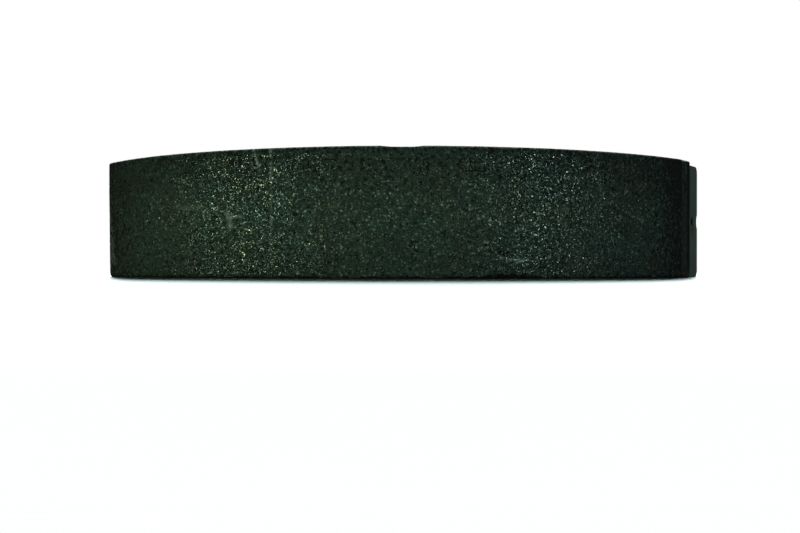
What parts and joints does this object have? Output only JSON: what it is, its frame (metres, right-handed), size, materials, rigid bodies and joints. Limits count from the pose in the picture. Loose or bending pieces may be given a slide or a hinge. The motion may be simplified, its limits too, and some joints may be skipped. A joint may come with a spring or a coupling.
{
  "type": "drum brake shoe",
  "caption": "Drum brake shoe: arched steel table with a welded web, and a bonded friction lining with bevelled ends, standing on its side edge.",
  "frame": {"origin": "under the middle of the shoe's box, on the surface that it stands on", "axes": "+Z along the drum's axis; -Y out of the friction face; +X along the shoe, towards the anchor end"},
  "size_m": [0.1768, 0.0776, 0.032],
  "materials": {
    "lining": "moulded friction composition, ground face with fine metal flecks",
    "table_steel": "rolled steel strip under thin black-green primer, semi-matt",
    "web_steel": "stamped steel plate under thin black-green primer, semi-matt"
  },
  "bodies": {
    "root": {"friction_lining": "lining", "shoe_table": "table_steel", "shoe_web": "web_steel"}
  },
  "joints": []
}
